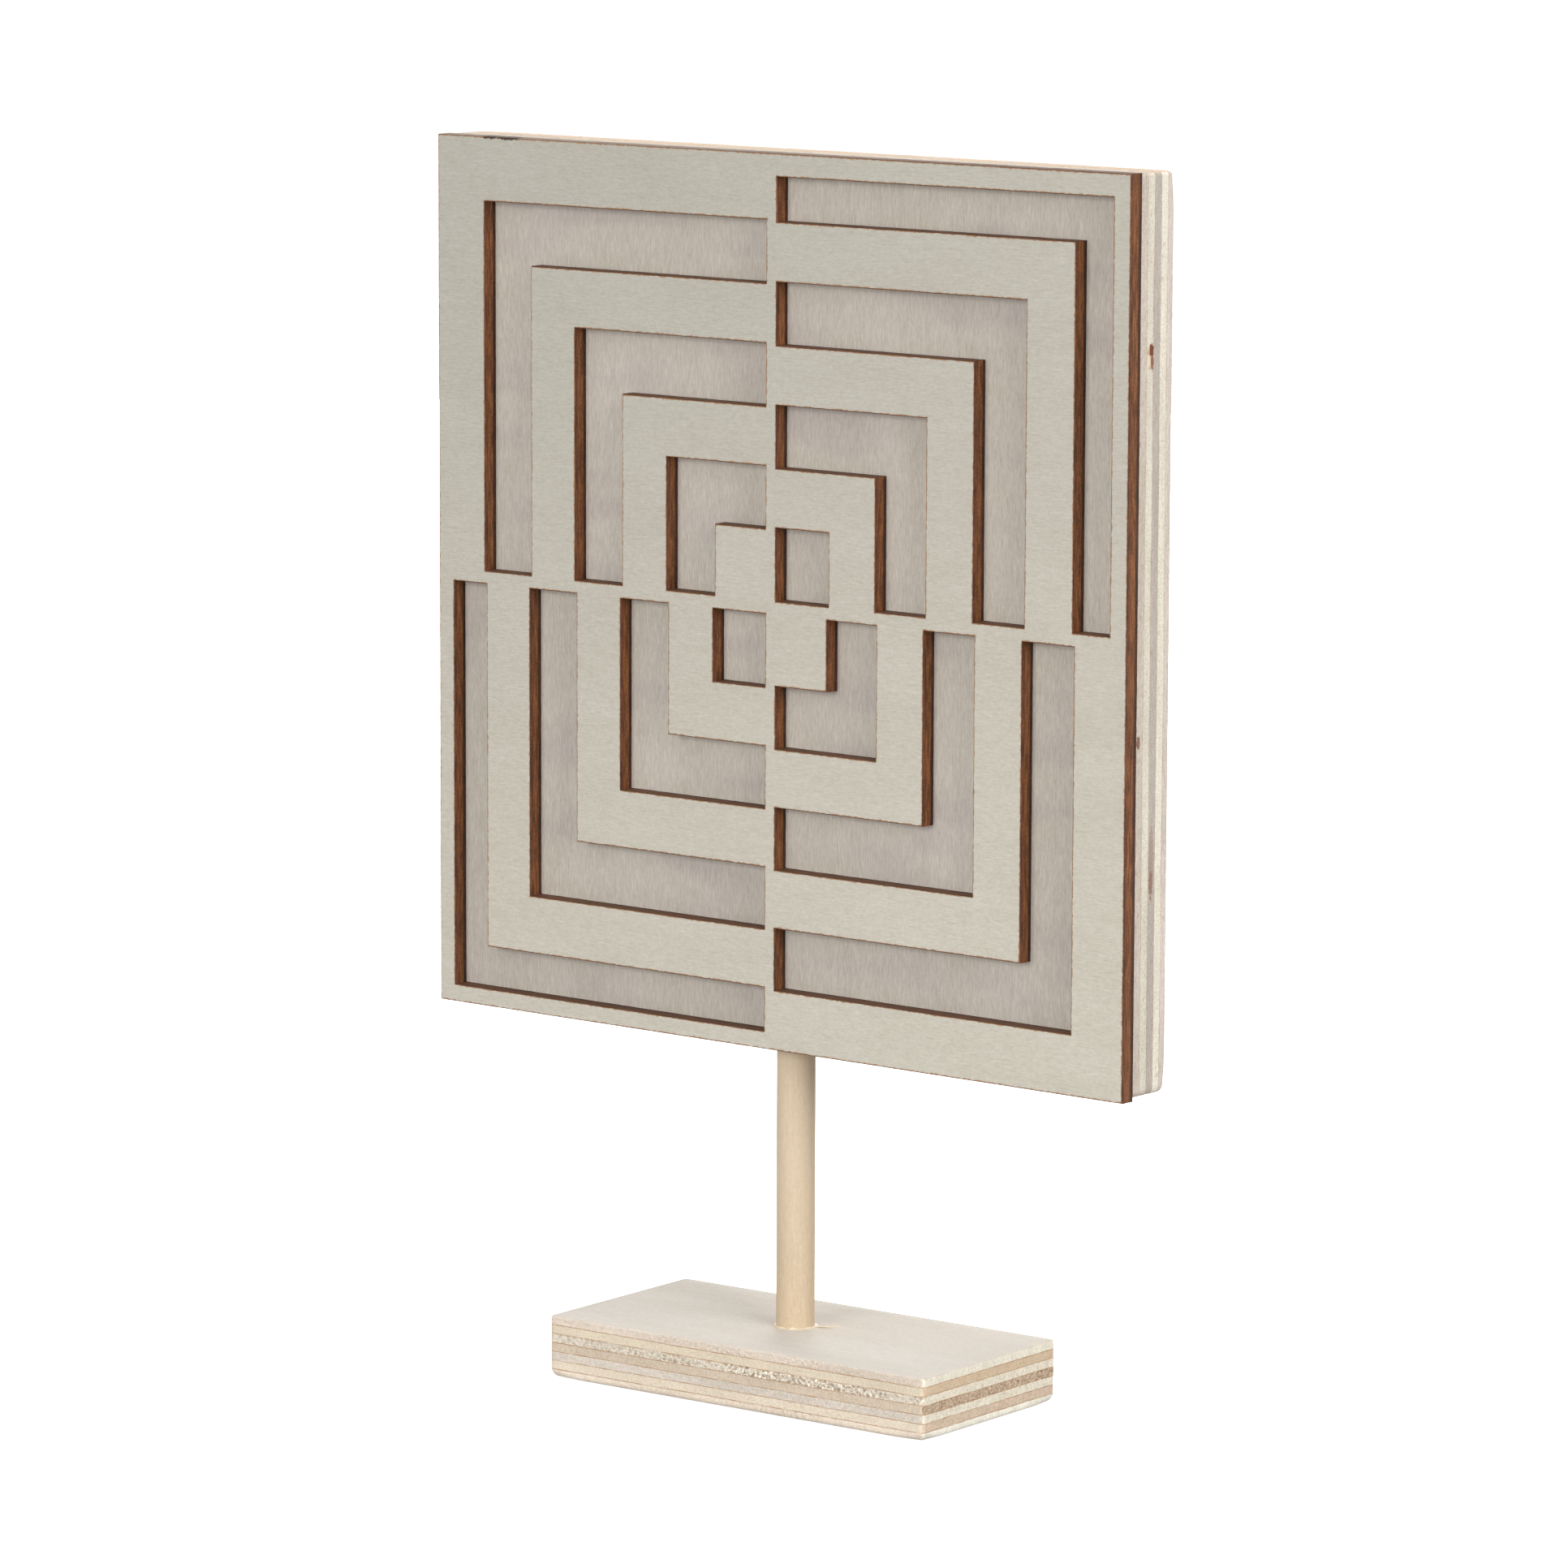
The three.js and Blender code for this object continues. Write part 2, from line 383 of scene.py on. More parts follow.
def box_mm(node):
    low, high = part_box(node)
    return low / MM, high / MM


def drift(point, size, seed):
    """Smooth noise from about -1 to 1 at a point, with marks of this size."""
    return noise.noise(Vector(point) / size + Vector([seed * step for step in DRIFT_SHIFT]))


def limited(value, low=0.0, high=1.0):
    """A value kept between two limits."""
    return max(low, min(high, value))


# --- Fretwork plate --------------------------------------------------------------------------------------

GRID_STEP = 2.0
GRID_RIM = 0.4
LOOK_FROM = 10.0
LIP_EASE = 0.1
CUT_TAPER = 0.05
CUT_WOBBLE = 0.03
CUT_WOBBLE_SIZE = 1.4

PANEL_FACE = colour(204, 198, 184)
PANEL_FACE_SHADE = colour(181, 177, 166)
# Laser char round the cuts on the face, made darker so that it also stands for the shadow along the top lips:
# partly painted shadow.
CHAR_AND_SHADOW_LIP = colour(158, 116, 80)
SCORCH = colour(48, 27, 12)
SOOT = colour(88, 62, 46)
CLEAN_TOP = colour(152, 134, 116)

FRET_FRONT = box_mm("fretwork_front_veneer")[0][Y]
FRET_REAR = box_mm("fretwork_rear_veneer")[1][Y]
PANEL_LOW = box_mm("fretwork_front_veneer")[0]
PANEL_HIGH = box_mm("fretwork_front_veneer")[1]

# The two lobes of the scorch on the top edge: the distance from the left end and the half-length.
SCORCHES = ((11.5, 2.2), (15.6, 3.6))
SCORCH_SETBACK = 0.8
SCORCH_DEPTH = 2.4
SCORCH_HEIGHT = 0.6
SCORCH_SHARE = 0.9

# How much of the face's change in colour runs from left to right, and how much from top to bottom.
SHADE_ACROSS = 0.25
SHADE_DOWN = 0.75

# How far the lip's darker line, the root's painted shade and the clean top edge reach, and how dark or strong
# they are.
LIP_LINE = (0.45, 0.05)
LIP_TONE = -0.25
ROOT_SHADE_LINE = 1.1
ROOT_SHADE_TONE = -0.45
SOOT_SHARE = 0.75
CLEAN_BAND = (0.6, 0.3)
CLEAN_RIGHT = 0.05
CLEAN_LEFT = 0.6


def fret_face_material():
    shader = Shader("fretwork_face", 0.72)
    tone = fine_grain(shader, X, 3, fibre=0.36)
    across = shader.step(shader.along(X), PANEL_LOW[X], PANEL_HIGH[X])
    down = shader.step(shader.along(Z), PANEL_HIGH[Z], PANEL_LOW[Z])
    light = shader.total(shader.product(across, SHADE_ACROSS), shader.product(down, SHADE_DOWN))
    base = shader.blend(light, PANEL_FACE_SHADE, PANEL_FACE)
    base = shader.toned(base, tone)
    # The face's rim along each cut is laser char, painted darker so that it also stands for the shadow along
    # the top lips: partly painted shadow.
    ragged = shader.math("ADD", shader.mark("edge"), shader.swing(even(0.8), 8, 1.4, 1.0))
    char_and_shadow = shader.product(shader.step(ragged, 0.35, 0.85), 0.95)
    shader.bump(shader.noise(sized(X, *FIBRE), 3, 3.0), 0.02)
    return shader.finish(scorched(shader, shader.blend(char_and_shadow, base, CHAR_AND_SHADOW_LIP)))


def scorched(shader, base):
    """A colour with the laser's scorch near the left end of the panel's top edge."""
    for distance, half in SCORCHES:
        place = (PANEL_LOW[X] + distance, FRET_FRONT + SCORCH_SETBACK, PANEL_HIGH[Z])
        base = shader.stained(base, place, (half, SCORCH_DEPTH, SCORCH_HEIGHT), SCORCH, SCORCH_SHARE)
    return base


def lip_line_and_root_shade(shader):
    """The darker line at a burnt wall's lip, and painted shade at its root, in the corner where it meets the
    backing.
    """
    depth = shader.along(Y)
    lip = shader.step(depth, FRET_FRONT + LIP_LINE[0], FRET_FRONT + LIP_LINE[1])
    # Painted shade along the wall's root, in the corner where it meets the backing.
    root = shader.step(depth, FRET_REAR - ROOT_SHADE_LINE, FRET_REAR)
    return shader.product(lip, LIP_TONE), shader.product(root, ROOT_SHADE_TONE)


def clean_top(shader, base):
    """A colour that is cleaner on the panel's top edge, and more so towards the left."""
    leftward = shader.step(shader.along(X), PANEL_HIGH[X], PANEL_LOW[X])
    top = shader.step(shader.along(Z), PANEL_HIGH[Z] - CLEAN_BAND[0], PANEL_HIGH[Z] - CLEAN_BAND[1])
    share = shader.total(shader.product(leftward, CLEAN_LEFT), CLEAN_RIGHT)
    return shader.blend(shader.product(top, shader.facing(Z), share), base, CLEAN_TOP)


def burnt_material(name, light, dark, seed):
    """A wall left by the laser: scorched wood with streaks along the veneers, fine marks across them, a
    darker line at its lip, painted shade at its root by the backing, and soot where it faces up or down."""
    shader = Shader(name, 0.66)
    streaks = shader.step(shader.noise((3.5, 0.35, 3.5), seed, 3.0), 0.32, 0.68)
    fine = shader.swing((0.35, 0.6, 0.35), seed + 1, 1.1, 3.0)
    slow = shader.swing((9.0, 3.0, 9.0), seed + 3, 0.9, 1.0)
    base = shader.toned(shader.blend(streaks, dark, light), shader.total(fine, slow, *lip_line_and_root_shade(shader)))
    base = shader.blend(shader.product(shader.facing(Z), SOOT_SHARE), base, SOOT)
    shader.bump(shader.noise((0.3, 1.0, 0.3), seed + 2, 2.0), 0.04)
    return shader.finish(scorched(shader, clean_top(shader, base)))


def grid_lines(node, axis):
    """Grid lines with one at each of a cut plate's own corners, a rim each side of it, and even steps."""
    corners = sorted({round(vertex.co[axis] / MM, 3) for vertex in node.data.vertices})
    lines = []
    for low, high in zip(corners, corners[1:]):
        lines.append(low)
        inner = high - low - 2 * GRID_RIM
        if inner > GRID_RIM:
            count = math.ceil(inner / GRID_STEP)
            lines.extend(low + GRID_RIM + inner * k / count for k in range(count + 1))
    lines.append(corners[-1])
    return lines


def solid_cells(node, lines_x, lines_z):
    """Which cells of the grid hold wood, found by looking along Y. A border of empty cells is put round them,
    so that cell (i, j) is at [i + 1, j + 1]."""
    tree = BVHTree.FromPolygons(
        [vertex.co for vertex in node.data.vertices], [face.vertices for face in node.data.polygons]
    )
    solid = np.zeros((len(lines_x) + 1, len(lines_z) + 1), bool)
    for i, (west, east) in enumerate(zip(lines_x, lines_x[1:])):
        for j, (low, high) in enumerate(zip(lines_z, lines_z[1:])):
            middle = Vector(((west + east) / 2, FRET_FRONT - LOOK_FROM, (low + high) / 2)) * MM
            solid[i + 1, j + 1] = tree.ray_cast(middle, Vector((0.0, 1.0, 0.0)))[0] is not None
    return solid


def into_wood(solid, i, j):
    """The way into the wood from a grid corner, or None where no wood is near."""
    way = np.zeros(2)
    found = 0
    for side_x, side_z in ((0, 0), (1, 0), (0, 1), (1, 1)):
        if solid[i + side_x, j + side_z]:
            way += (2 * side_x - 1, 2 * side_z - 1)
            found += 1
    return None if found == 0 else np.sign(way)


def fret_levels(low, high, eased):
    """Depths of the rings of points down a cut wall, with how far each one stands back into the wood."""
    middle = (low + high) / 2
    if eased:
        return [(low, LIP_EASE), (low + LIP_EASE, 0.0), (middle, 0.0), (high, 0.0)]
    return [(low, 0.0), (middle, 0.0), (high, 0.0)]


class CutVeneer:
    """A cut veneer made anew on a fine grid, so that its walls can taper and waver.

    Points are at the grid's corners, at each level down a wall. A face's kind is 0 if flat, 1 if a wall."""

    def __init__(self, node_name, eased):
        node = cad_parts[node_name]
        low, high = box_mm(node_name)
        self.lines_x, self.lines_z = grid_lines(node, X), grid_lines(node, Z)
        self.solid = solid_cells(node, self.lines_x, self.lines_z)
        self.levels = fret_levels(low[Y], high[Y], eased)
        self.depth = high[Y] - FRET_FRONT
        self.numbers = {}
        self.points, self.edge = [], []
        self.faces, self.kinds = [], []

    def number(self, i, j, level):
        """The number of the point at a grid corner and a level, which is made when first asked for."""
        key = (i, j, level)
        if key not in self.numbers:
            way = into_wood(self.solid, i, j)
            depth, back = self.levels[level]
            place = (self.lines_x[i], depth, self.lines_z[j])
            if way.any():
                back += CUT_WOBBLE * drift(place, CUT_WOBBLE_SIZE, 1)
                back -= CUT_TAPER * (depth - FRET_FRONT) / self.depth
            self.numbers[key] = len(self.points)
            self.points.append((place[0] + way[0] * back, depth, place[2] + way[1] * back))
            self.edge.append(1.0 if way.any() else 0.0)
        return self.numbers[key]

    def add_face(self, corners, kind):
        self.faces.append([self.number(*corner) for corner in corners])
        self.kinds.append(kind)

    def add_cell(self, i, j):
        """The front and rear of one cell of wood, and a wall on each side where the next cell is empty."""
        last = len(self.levels) - 1
        ring = [(i, j), (i + 1, j), (i + 1, j + 1), (i, j + 1)]
        beyond = [(i + 1, j), (i + 2, j + 1), (i + 1, j + 2), (i, j + 1)]
        self.add_face([(*place, 0) for place in ring], 0)
        self.add_face([(*place, last) for place in reversed(ring)], 0)
        for side, start in enumerate(ring):
            if self.solid[beyond[side]]:
                continue
            end = ring[(side + 1) % len(ring)]
            for level in range(last):
                below = level + 1
                self.add_face([(*end, level), (*start, level), (*start, below), (*end, below)], 1)

    def add_cells(self):
        for i in range(len(self.lines_x) - 1):
            for j in range(len(self.lines_z) - 1):
                if self.solid[i + 1, j + 1]:
                    self.add_cell(i, j)


def make_fret_veneer(node_name, face_material, wall_material, eased):
    veneer = CutVeneer(node_name, eased)
    veneer.add_cells()
    materials = [face_material, wall_material]
    marks = {"edge": veneer.edge}
    piece = make_piece(node_name + "_wood", veneer.points, veneer.faces, materials, marks, veneer.kinds)
    stand_for(piece, node_name)


def make_fretwork():
    face = fret_face_material()
    walls = {
        "front": burnt_material("burnt_front", colour(122, 77, 51), colour(80, 49, 34), 11),
        "core": burnt_material("burnt_core", colour(140, 89, 50), colour(92, 55, 32), 21),
        "rear": burnt_material("burnt_rear", colour(94, 58, 41), colour(60, 37, 28), 31),
    }
    make_fret_veneer("fretwork_front_veneer", face, walls["front"], True)
    make_fret_veneer("fretwork_core_veneer", walls["core"], walls["core"], False)
    make_fret_veneer("fretwork_rear_veneer", walls["rear"], walls["rear"], False)


# --- Plywood boards --------------------------------------------------------------------------------------

ARC_STEPS = 8
WEAR_REACH = 3.5
SHARPEST = 0.15
FACE_RIM = 2.6
FACE_CORE = 0.5


def rounded_outline(half_u, half_v, radii, spacing):
    """Evenly spaced points along a rectangle with round corners, with the way out and the nearest corner's
    radius at each. The corners go round from the one at high u and low v."""
    points, ways, near = [], [], []
    signs = ((1, -1), (1, 1), (-1, 1), (-1, -1))
    centres = [
        np.array((sign_u * (half_u - radius), sign_v * (half_v - radius)))
        for (sign_u, sign_v), radius in zip(signs, radii)
    ]
    for k, (centre, radius) in enumerate(zip(centres, radii)):
        for step in range(ARC_STEPS):
            angle = math.radians(-90 + 90 * k + 90 * step / ARC_STEPS)
            way = np.array((math.cos(angle), math.sin(angle)))
            points.append(centre + radius * way)
            ways.append(way)
            near.append(radius)
        way = np.array((math.cos(math.radians(90 * k)), math.sin(math.radians(90 * k))))
        next_radius = radii[(k + 1) % 4]
        start = centre + radius * way
        end = centres[(k + 1) % 4] + next_radius * way
        count = max(1, round(np.linalg.norm(end - start) / spacing))
        for step in range(count):
            points.append(start + (end - start) * step / count)
            ways.append(way)
            near.append(radius if 2 * step < count else next_radius)
    return np.array(points), np.array(ways), np.array(near)


def round_over(distance, radius):
    """How far a rounded edge stands back at a distance from its face."""
    short = np.clip(radius - distance, 0.0, radius)
    return radius - np.sqrt(radius * radius - short * short)


class Board:
    """Plywood: a stack of veneers of one outline, from its first face at depth 0 to its last one.

    place turns (u, v, depth) into a point. The edges of both faces are eased, and those of the last one are
    worn rounder near the corners. The lines between veneers wave a little along the edge. Points are spacing
    apart along the outline, and each veneer's edge has this number of levels."""

    def __init__(
        self, place, half_u, half_v, radii, depths, eases, wear, spacing, wave, wave_size, levels
    ):
        self.place = place
        self.halves = np.array((half_u, half_v))
        self.outline, self.ways, self.radii = rounded_outline(half_u, half_v, radii, spacing)
        to_corner = np.hypot(half_u - abs(self.outline[:, 0]), half_v - abs(self.outline[:, 1]))
        worn = wear * np.exp(-((to_corner / WEAR_REACH) ** 2))
        self.first_ease = np.full(len(self.outline), eases[0])
        self.last_ease = eases[1] + worn
        self.depths = depths
        self.wave = wave
        self.wave_size = wave_size
        self.levels = levels

    def line(self, index):
        """The depth of the line before veneer number index, at each point of the outline."""
        flat = np.full(len(self.outline), self.depths[index])
        if 0 < index < len(self.depths) - 1:
            for k, (u, v) in enumerate(self.outline):
                flat[k] += self.wave * drift((u, v, 0.0), self.wave_size, 2 + index)
        return flat

    def inset(self, back):
        """The outline moved in by a distance at each point, with its corners kept round."""
        left = np.maximum(self.radii - back, SHARPEST)[:, None]
        reach = self.halves - back[:, None] - left
        return np.clip(self.outline, -reach, reach) + self.ways * left

    def points(self, flat, depth):
        return [self.place(u, v, w) for (u, v), w in zip(flat, depth)]

    def edge_ring(self, index, share, tear):
        """The ring at a share of a veneer's thickness, with how torn and how rough each point of it is."""
        start, end = self.line(index), self.line(index + 1)
        depth = start + (end - start) * share
        back = round_over(depth - self.depths[0], self.first_ease)
        back = back + round_over(self.depths[-1] - depth, self.last_ease)
        torn, rough = np.zeros(len(depth)), np.zeros(len(depth))
        for k, (u, v) in enumerate(self.outline):
            loss, torn[k], rough[k] = tear(self.place(u, v, depth[k]), self.ways[k], index)
            back[k] += loss
        return self.points(self.inset(back), depth), torn, rough

    def face_rings(self, index, hole):
        """Rings on the flat face at a veneer's line, from the rim in to a round hole, if there is one. A hole
        is given as its middle and its radius."""
        depth = np.full(len(self.outline), self.depths[index])
        rings = [self.points(self.inset(np.full(len(depth), FACE_RIM)), depth)]
        inner = self.outline * FACE_CORE
        if hole:
            middle, radius = hole
            ways = self.outline - middle
            inner = middle + radius * ways / np.linalg.norm(ways, axis=1)[:, None]
        rings.append(self.points(inner, depth))
        return rings

    def veneer(self, index, hole, tear):
        """Rings of a veneer, from the middle of its first face over its edge to the middle of its last,
        with the marks for each point."""
        first = self.face_rings(index, hole)[::-1]
        last = self.face_rings(index + 1, hole)
        rings = list(first)
        count = len(self.outline)
        flat = [0.0] * (count * len(first))
        marks = {"layer": list(flat), "torn": list(flat), "rough": list(flat)}
        for level in range(self.levels + 1):
            share = level / self.levels
            ring, torn, rough = self.edge_ring(index, share, tear)
            rings.append(ring)
            marks["layer"].extend([share] * count)
            marks["torn"].extend(torn)
            marks["rough"].extend(rough)
        rings.extend(last)
        marks["layer"].extend([1.0] * len(flat))
        marks["torn"].extend(flat)
        marks["rough"].extend(flat)
        return rings, marks


def stack_depths(nodes, axis, front_is_low):
    """The depths of the lines between stacked veneers, from the first face of the first one."""
    boxes = [box_mm(node) for node in nodes]
    first_low, first_high = boxes[0]
    if front_is_low:
        return [0.0] + [high[axis] - first_low[axis] for low, high in boxes]
    return [0.0] + [first_high[axis] - low[axis] for low, high in boxes]


# --- Plywood material ------------------------------------------------------------------------------------

GLUE_LINE = colour(180, 136, 96)
GLUE_RIM = (0.43, 0.48)
TORN_SHADE = colour(146, 118, 88)
TORN_SHARE = 0.85


def glued(shader, base, seed, share):
    """A colour with a thin broken line of glue along both rims of a veneer's edge."""
    jitter = shader.swing(even(1.2), seed + 6, 0.08)
    from_middle = shader.math("ABSOLUTE", shader.math("SUBTRACT", shader.mark("layer"), 0.5))
    rim = shader.math("ADD", from_middle, jitter)
    broken = shader.step(shader.noise(even(3.0), seed + 8), 0.25, 0.55)
    line = shader.product(shader.step(rim, *GLUE_RIM), broken, share)
    return shader.blend(line, base, GLUE_LINE)


def edge_tones(shader, seed, speckles):
    """The tones of a sawn edge: fine speckles, dark specks where it is rough, and a slow change along it."""
    speckle = shader.swing(even(0.32), seed + 5, speckles, 3.0)
    specks = shader.product(shader.mark("rough"), shader.swing(even(0.36), seed + 9, 2.2, 1.0))
    slow = shader.swing((16.0, 2.0, 16.0), seed + 4, 0.30, 1.0)
    return speckle, specks, slow


def edge_material(name, seed, grain, face, side, end, speckles, glue_share, extra):
    """One veneer of plywood. Its flat faces, the edges along one axis and the edges along the other differ
    in colour, because the grain meets them differently. A face is given as its axis, its colour and the
    strength of its fibres, and extra adds the board's own marks."""
    shader = Shader(name, 0.78)
    face_axis, face_colour, fibre = face
    tone = fine_grain(shader, grain, seed, fibre=fibre, patch=0.18)
    base = shader.blend(shader.step(shader.facing(X), 0.55, 0.8), side, end)
    base = glued(shader, base, seed, glue_share)
    base = shader.blend(shader.product(shader.mark("torn"), TORN_SHARE), base, TORN_SHADE)
    base = shader.toned(base, shader.total(tone, *edge_tones(shader, seed, speckles)))
    face_share = shader.step(shader.facing(face_axis), 0.80, 0.95)
    base = shader.blend(face_share, base, shader.toned(face_colour, tone))
    shader.bump(shader.noise(even(0.25), seed + 7, 3.0), 0.05)
    return shader.finish(extra(shader, base))


# --- Backing board ---------------------------------------------------------------------------------------

BACKING_NODES = [f"backing_veneer_{k}" for k in range(1, 6)]
BACKING_CORNERS = (1.3, 0.6, 1.0, 1.0)
BACKING_EASES = (0.1, 0.55)
BACKING_WEAR = 0.7
BACKING_ROUGHNESS = (0.03, 0.05, 0.03, 0.05, 0.04)
BACKING_LOW = box_mm(BACKING_NODES[0])[0]
BACKING_HIGH = box_mm(BACKING_NODES[0])[1]
BACKING_FACE = colour(192, 184, 173)
BACKING_BACK = colour(214, 206, 195)
BACKING_FIBRE = 0.60
KNOT_HEIGHT = 176.0
MARK_HEIGHT = 115.3
STREAK_HEIGHT = 95.5
KNOT_DARK = colour(120, 72, 48)
KNOT_LIGHT = colour(206, 170, 138)
KNOT_HEART = colour(238, 224, 204)
SMOKE = (0.92, 0.91, 0.945)

# The stains on the right edge: a knot with a pale heart, a small brown mark and a dark streak. Each has its
# place along Y and Z, its half-sizes along them, its colour and its strength.
EDGE_STAIN_REACH = 2.0
EDGE_STAINS = (
    (-1.75, KNOT_HEIGHT, 1.1, 2.6, KNOT_LIGHT, 0.9),
    (-2.1, KNOT_HEIGHT - 0.5, 0.6, 1.5, KNOT_HEART, 0.8),
    (-1.35, KNOT_HEIGHT + 1.2, 0.8, 1.3, KNOT_DARK, 1.0),
    (-1.15, KNOT_HEIGHT - 0.7, 0.5, 1.8, KNOT_DARK, 0.8),
    (-3.8, MARK_HEIGHT, 0.6, 1.4, KNOT_DARK, 0.85),
    (-0.1, STREAK_HEIGHT, 0.9, 8.0, KNOT_DARK, 0.35),
    (-0.2, STREAK_HEIGHT - 3.0, 0.7, 3.0, KNOT_DARK, 0.5),
)

# For each veneer from the front: the colour of the upright edges and that of the top and bottom ones.
BACKING_EDGES = [
    (colour(206, 194, 181), colour(207, 194, 179)),
    (colour(222, 215, 199), colour(214, 199, 179)),
    (colour(190, 179, 169), colour(216, 194, 171)),
    (colour(233, 226, 210), colour(224, 199, 173)),
    (colour(217, 205, 194), colour(222, 196, 169)),
]


def backing_marks(shader, base):
    """The stains on the right edge, faint smoke left by the laser on the front, and its scorch on the top."""
    for depth, height, half_depth, half_height, tint, strength in EDGE_STAINS:
        centre = (BACKING_HIGH[X], depth, height)
        base = shader.stained(base, centre, (EDGE_STAIN_REACH, half_depth, half_height), tint, strength)
    front = shader.step(shader.along(Y), BACKING_LOW[Y] + 0.1, BACKING_LOW[Y] + 0.05)
    smoke = shader.step(shader.noise((26.0, 5.0, 7.0), 330, 1.0), 0.46, 0.72)
    base = shader.blend(shader.product(smoke, front), base, shader.vector("MULTIPLY", base, SMOKE))
    return scorched(shader, base)


def backing_tear(place, way, index):
    """Sawn edges: a shallow roughness, deepest where the saw meets the grain's end."""
    unevenness = drift(place, 1.1, 20 + index) + 0.4 * drift(place, 0.5, 30 + index)
    torn = limited(drift(place, 0.7, 40 + index) * 2.2 - 0.9) * 0.5
    return BACKING_ROUGHNESS[index] * unevenness, torn, 0.15


def make_backing():
    depths = stack_depths(BACKING_NODES, Y, True)
    half_u = (BACKING_HIGH[X] - BACKING_LOW[X]) / 2
    half_v = (BACKING_HIGH[Z] - BACKING_LOW[Z]) / 2
    middle = (BACKING_HIGH[Z] + BACKING_LOW[Z]) / 2
    front = BACKING_LOW[Y]

    def place(u, v, depth):
        return (u, front + depth, middle + v)

    board = Board(
        place, half_u, half_v, BACKING_CORNERS, depths, BACKING_EASES, BACKING_WEAR,
        spacing=0.6, wave=0.13, wave_size=14.0, levels=6,
    )
    for index, node in enumerate(BACKING_NODES):
        rings, marks = board.veneer(index, None, backing_tear)
        points, faces = loft(rings, False)
        end, side = BACKING_EDGES[index]
        grain = Z if index % 2 == 0 else X
        face = (Y, BACKING_BACK if node == BACKING_NODES[-1] else BACKING_FACE, BACKING_FIBRE)
        material = edge_material(node, 50 + 10 * index, grain, face, side, end, 0.40, 0.45, backing_marks)
        piece = make_piece(node + "_wood", points, faces, [material], marks)
        stand_for(piece, node)


# --- Base block ------------------------------------------------------------------------------------------

BASE_NODES = [f"base_veneer_{k}" for k in range(1, 8)]
BASE_TURN = math.radians(2.5)
BASE_CORNER = 0.8
BASE_EASES = (0.3, 0.9)
BASE_WEAR = 0.7
BASE_FACE = colour(219, 212, 202)
BASE_FIBRE = 0.30
BASE_TOP = box_mm(BASE_NODES[0])[1][Z]
HOLE_RADIUS = 3.5
DRILLED = 5

# Torn grain is worst at this place along the base, from its middle, and fades over this reach.
WORST_PLACE = 10.0
WORST_REACH = 24.0

# Two strips of the top veneer meet between these places along Y, and the rear one is a little warmer.
STRIP_LINE = (-2.0, -1.2)
STRIP_SHARE = 0.35
STRIP_TINT = (0.96, 0.93, 0.89)

# For each veneer from the top: the colours of the long edges and of the end ones, and how torn each is.
BASE_EDGES = [
    (colour(224, 209, 193), colour(244, 236, 218), 0.06, 0.04),
    (colour(225, 211, 188), colour(219, 195, 165), 0.03, 0.02),
    (colour(222, 211, 194), colour(240, 230, 210), 0.34, 0.05),
    (colour(215, 198, 177), colour(202, 178, 153), 0.02, 0.20),
    (colour(217, 206, 192), colour(243, 234, 214), 0.05, 0.05),
    (colour(232, 218, 197), colour(221, 198, 175), 0.03, 0.04),
    (colour(239, 223, 204), colour(252, 247, 231), 0.05, 0.03),
]


def base_tear(place, way, index):
    """Sawn edges: torn grain on some veneers, worst along the right half of the long edge."""
    long_share = way[1] * way[1]
    long_rough, end_rough = BASE_EDGES[index][2:]
    clumps = 0.4 + 1.5 * drift(place, 7.0, 110 + index)
    near = math.exp(-(((place[X] - WORST_PLACE) / WORST_REACH) ** 2))
    worst = 0.25 + 0.75 * near * limited(clumps + 0.4, 0.2, 1.3)
    rough = long_rough * worst * long_share + end_rough * (1 - long_share)
    pits = drift(place, 0.50, 60 + index) + 0.6 * drift(place, 0.26, 70 + index)
    torn = limited(pits * 2.6 - 0.4) * min(1.0, rough * 6.0)
    return rough * pits, torn, min(1.0, rough * 4.0)


def boundary(shader, base):
    """On the flat top two strips of veneer meet in a faint line, and one is a little warmer."""
    ragged = shader.math("ADD", shader.along(Y), shader.swing((20.0, 3.0, 3.0), 320, 5.0))
    strip = shader.product(shader.step(ragged, *STRIP_LINE), shader.facing(Z), STRIP_SHARE)
    return shader.blend(strip, base, shader.vector("MULTIPLY", base, STRIP_TINT))


def square_halves(box_half):
    """The base's own half-length and half-depth, from half the box that holds it as it stands, turned."""
    reach = box_half - Vector((BASE_CORNER, BASE_CORNER, 0.0))
    cosine, sine = math.cos(BASE_TURN), math.sin(BASE_TURN)
    spread = math.cos(2 * BASE_TURN)
    half_length = (reach.x * cosine - reach.y * sine) / spread + BASE_CORNER
    half_depth = (reach.y * cosine - reach.x * sine) / spread + BASE_CORNER
    return half_length, half_depth


